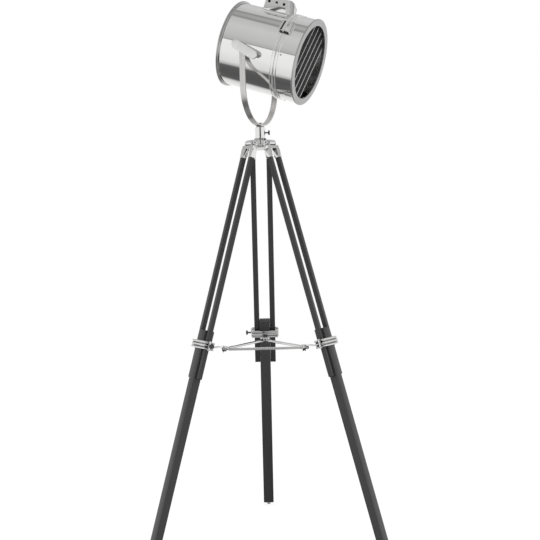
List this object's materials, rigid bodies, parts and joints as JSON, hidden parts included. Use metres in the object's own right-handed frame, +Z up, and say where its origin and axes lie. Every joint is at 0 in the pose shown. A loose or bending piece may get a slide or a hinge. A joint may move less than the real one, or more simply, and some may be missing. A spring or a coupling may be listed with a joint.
{
  "type": "tripod spotlight floor lamp",
  "caption": "Tripod floor lamp: a polished drum spotlight with a louvred hood tilts in a U-shaped yoke on folding black legs with telescoping feet and a rod brace.",
  "frame": {"origin": "on the floor at the middle of the overall box; the pan axis is 88 mm towards -Y, over the centre of the three feet", "axes": "+Z up, the rear leg points along +Y, the lamp head looks towards +X -Y and down"},
  "size_m": [0.6394, 0.5542, 1.4782],
  "materials": {
    "chrome": "polished",
    "nickel": "satin",
    "steel": "satin",
    "aluminium": "satin",
    "black_wood": "satin black paint",
    "black_metal": "satin",
    "black_paint": "satin",
    "black_plastic": "matte",
    "glass": "frosted"
  },
  "bodies": {
    "stand_hub": {"hub_casting": "chrome", "receiver_tube": "chrome", "leg_hinge_pins": "steel", "hinge_pin_nuts": "chrome"},
    "pan_lock": {"pan_lock_screw": "black_metal"},
    "leg_rear": {"leg_head_rear": "chrome", "upper_rails_rear": "black_wood", "rail_ferrules_rear": "chrome", "ferrule_screws_rear": "chrome", "clamp_outer_rear": "chrome", "clamp_inner_rear": "chrome", "clamp_bolts_rear": "chrome"},
    "extension_rear": {"lower_leg_rear": "black_wood", "foot_tip_rear": "steel"},
    "knob_rear": {"clamp_knob_rear": "black_metal"},
    "brace_rear": {"brace_rod_rear": "chrome"},
    "wing_rear": {"brace_screw_rear": "black_metal"},
    "leg_left": {"leg_head_left": "chrome", "upper_rails_left": "black_wood", "rail_ferrules_left": "chrome", "ferrule_screws_left": "chrome", "clamp_outer_left": "chrome", "clamp_inner_left": "chrome", "clamp_bolts_left": "chrome"},
    "extension_left": {"lower_leg_left": "black_wood", "foot_tip_left": "steel"},
    "knob_left": {"clamp_knob_left": "black_metal"},
    "brace_left": {"brace_rod_left": "chrome"},
    "wing_left": {"brace_screw_left": "black_metal"},
    "leg_right": {"leg_head_right": "chrome", "upper_rails_right": "black_wood", "rail_ferrules_right": "chrome", "ferrule_screws_right": "chrome", "clamp_outer_right": "chrome", "clamp_inner_right": "chrome", "clamp_bolts_right": "chrome"},
    "extension_right": {"lower_leg_right": "black_wood", "foot_tip_right": "steel"},
    "knob_right": {"clamp_knob_right": "black_metal"},
    "brace_right": {"brace_rod_right": "chrome"},
    "wing_right": {"brace_screw_right": "black_metal"},
    "yoke": {"yoke": "nickel", "yoke_stem": "nickel", "yoke_nut": "steel"},
    "head": {"drum_shell": "chrome", "rear_cover": "chrome", "cable_gland": "black_plastic", "vent_cap": "chrome", "reflector": "aluminium", "lamp_holder": "black_plastic", "bulb": "glass", "hinge_leaf_drum": "chrome", "hinge_pin_front": "steel", "far_pivot_bolt": "chrome"},
    "tilt_lock": {"tilt_knob": "chrome"},
    "hood": {"hinge_leaf_hood": "chrome", "hood_collar": "chrome", "hood_screws": "chrome", "front_bezel": "chrome", "louvre_slats": "black_paint"}
  },
  "joints": [
    {"name": "leg_fold_rear", "type": "hinge", "parent": "stand_hub", "child": "leg_rear", "pos_m": [0, -0.058, 1.085], "axis": [-1, 0, 0], "range_deg": [0, 9]},
    {"name": "leg_length_rear", "type": "slide", "parent": "leg_rear", "child": "extension_rear", "axis": [0, -0.2861, 0.9582], "range_m": [0, 0.4]},
    {"name": "clamp_screw_rear", "type": "hinge", "parent": "leg_rear", "child": "knob_rear", "pos_m": [-0.04, 0.10335, 0.54457], "axis": [-1, 0, 0], "range_deg": [-720, 0]},
    {"name": "brace_swing_rear", "type": "hinge", "parent": "leg_rear", "child": "brace_rear", "pos_m": [-0.0055, 0.03947, 0.52782], "axis": [-0.866, 0.5, 0], "range_deg": [-85.5, 0]},
    {"name": "brace_wing_rear", "type": "hinge", "parent": "brace_rear", "child": "wing_rear", "pos_m": [-0.11264, -0.14611, 0.52782], "axis": [0, 0, 1], "range_deg": [-720, 0]},
    {"name": "leg_fold_left", "type": "hinge", "parent": "stand_hub", "child": "leg_left", "pos_m": [-0.02598, -0.103, 1.085], "axis": [0.5, -0.866, 0], "range_deg": [0, 9]},
    {"name": "leg_length_left", "type": "slide", "parent": "leg_left", "child": "extension_left", "axis": [0.2478, 0.143, 0.9582], "range_m": [0, 0.4]},
    {"name": "clamp_screw_left", "type": "hinge", "parent": "leg_left", "child": "knob_left", "pos_m": [-0.14572, -0.21832, 0.54457], "axis": [0.5, -0.866, 0], "range_deg": [-720, 0]},
    {"name": "brace_swing_left", "type": "hinge", "parent": "leg_left", "child": "brace_left", "pos_m": [-0.10765, -0.1565, 0.52782], "axis": [0, -1, 0], "range_deg": [-85.5, 0]},
    {"name": "brace_wing_left", "type": "hinge", "parent": "brace_left", "child": "wing_left", "pos_m": [0.10665, -0.1565, 0.52782], "axis": [0, 0, 1], "range_deg": [-720, 0]},
    {"name": "leg_fold_right", "type": "hinge", "parent": "stand_hub", "child": "leg_right", "pos_m": [0.02598, -0.103, 1.085], "axis": [0.5, 0.866, 0], "range_deg": [0, 9]},
    {"name": "leg_length_right", "type": "slide", "parent": "leg_right", "child": "extension_right", "axis": [-0.2478, 0.143, 0.9582], "range_m": [0, 0.4]},
    {"name": "clamp_screw_right", "type": "hinge", "parent": "leg_right", "child": "knob_right", "pos_m": [0.18571, -0.14904, 0.54457], "axis": [0.5, 0.866, 0], "range_deg": [-720, 0]},
    {"name": "brace_swing_right", "type": "hinge", "parent": "leg_right", "child": "brace_right", "pos_m": [0.11314, -0.14697, 0.52782], "axis": [0.866, 0.5, 0], "range_deg": [-85.5, 0]},
    {"name": "brace_wing_right", "type": "hinge", "parent": "brace_right", "child": "wing_right", "pos_m": [0.006, 0.03861, 0.52782], "axis": [0, 0, 1], "range_deg": [-720, 0]},
    {"name": "pan_lock_turn", "type": "hinge", "parent": "stand_hub", "child": "pan_lock", "pos_m": [0, -0.088, 1.1125], "axis": [1, 0, 0], "range_deg": [-720, 0]},
    {"name": "pan", "type": "hinge", "parent": "stand_hub", "child": "yoke", "pos_m": [0, -0.088, 1.1276], "axis": [0, 0, 1], "range_deg": [-175, 175]},
    {"name": "tilt", "type": "hinge", "parent": "yoke", "child": "head", "pos_m": [0, -0.088, 1.3318], "axis": [0.3535, 0.9354, 0], "range_deg": [-70, 38]},
    {"name": "tilt_lock_turn", "type": "hinge", "parent": "head", "child": "tilt_lock", "pos_m": [-0.04348, -0.20306, 1.3318], "axis": [0.3535, 0.9354, 0], "range_deg": [-60, 60]},
    {"name": "hood_opening", "type": "hinge", "parent": "head", "child": "hood", "pos_m": [0.07254, -0.21681, 1.38391], "axis": [0.4286, 0.5035, 0.7502], "range_deg": [-85, 0]}
  ],
  "couplings": [
    {"joint": "leg_fold_left", "follows": "leg_fold_rear", "ratio": 1},
    {"joint": "leg_fold_right", "follows": "leg_fold_rear", "ratio": 1},
    {"joint": "brace_swing_rear", "follows": "leg_fold_rear", "ratio": -9.5},
    {"joint": "brace_swing_left", "follows": "leg_fold_rear", "ratio": -9.5},
    {"joint": "brace_swing_right", "follows": "leg_fold_rear", "ratio": -9.5}
  ]
}
